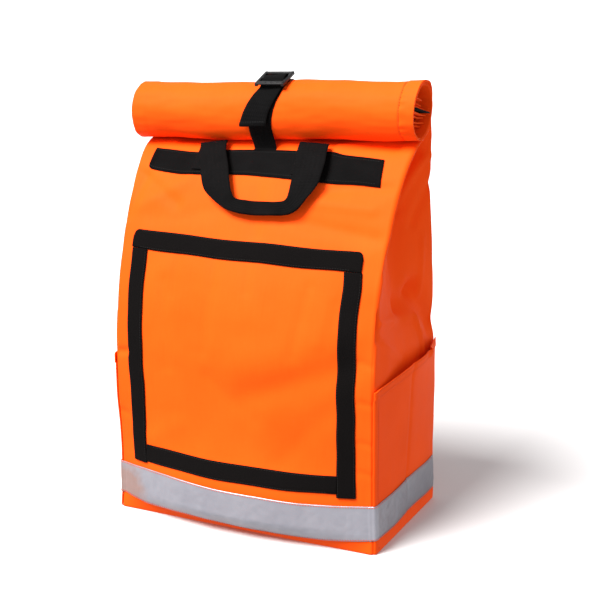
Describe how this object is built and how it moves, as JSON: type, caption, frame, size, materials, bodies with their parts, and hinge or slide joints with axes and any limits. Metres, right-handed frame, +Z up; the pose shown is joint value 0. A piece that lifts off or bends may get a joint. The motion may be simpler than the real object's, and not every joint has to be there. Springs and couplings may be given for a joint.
{
  "type": "roll-top backpack",
  "caption": "Tall cloth backpack with a mouth rolled forward under one strap, a square loop-tape frame, side pockets, a hanging handle and a reflective band.",
  "frame": {"origin": "middle of the flat floor that the bag stands on", "axes": "+Z up towards the rolled mouth, -Y out of the front with the loop-tape frame, +Y towards the wearer's back, +X to the right seen from the front"},
  "size_m": [0.4213, 0.314, 0.6241],
  "materials": {
    "orange_cloth": "coated plain-weave polyester, slight sheen",
    "reflective_tape": "retroreflective silver band, satin",
    "loop_tape": "black loop pile, matte",
    "black_webbing": "ribbed woven webbing, matte",
    "black_plastic": "moulded plastic, satin"
  },
  "bodies": {
    "root": {"bag_body": "orange_cloth", "rolled_mouth": "orange_cloth", "side_pocket_right": "orange_cloth", "side_pocket_left": "orange_cloth", "shoulder_pad_right": "orange_cloth", "shoulder_pad_left": "orange_cloth", "reflective_tape": "reflective_tape", "loop_strip_bottom": "loop_tape", "loop_strip_top": "loop_tape", "loop_strip_left": "loop_tape", "loop_strip_right": "loop_tape", "front_band": "black_webbing", "carry_handle": "black_webbing", "closure_strap_front": "black_webbing", "closure_strap_back": "black_webbing", "closure_tail": "black_webbing", "mouth_strip": "black_webbing", "back_anchor": "black_webbing", "shoulder_webbing_right": "black_webbing", "shoulder_webbing_left": "black_webbing", "strap_buckle": "black_plastic", "strap_adjuster_right": "black_plastic", "strap_adjuster_left": "black_plastic"}
  },
  "joints": []
}
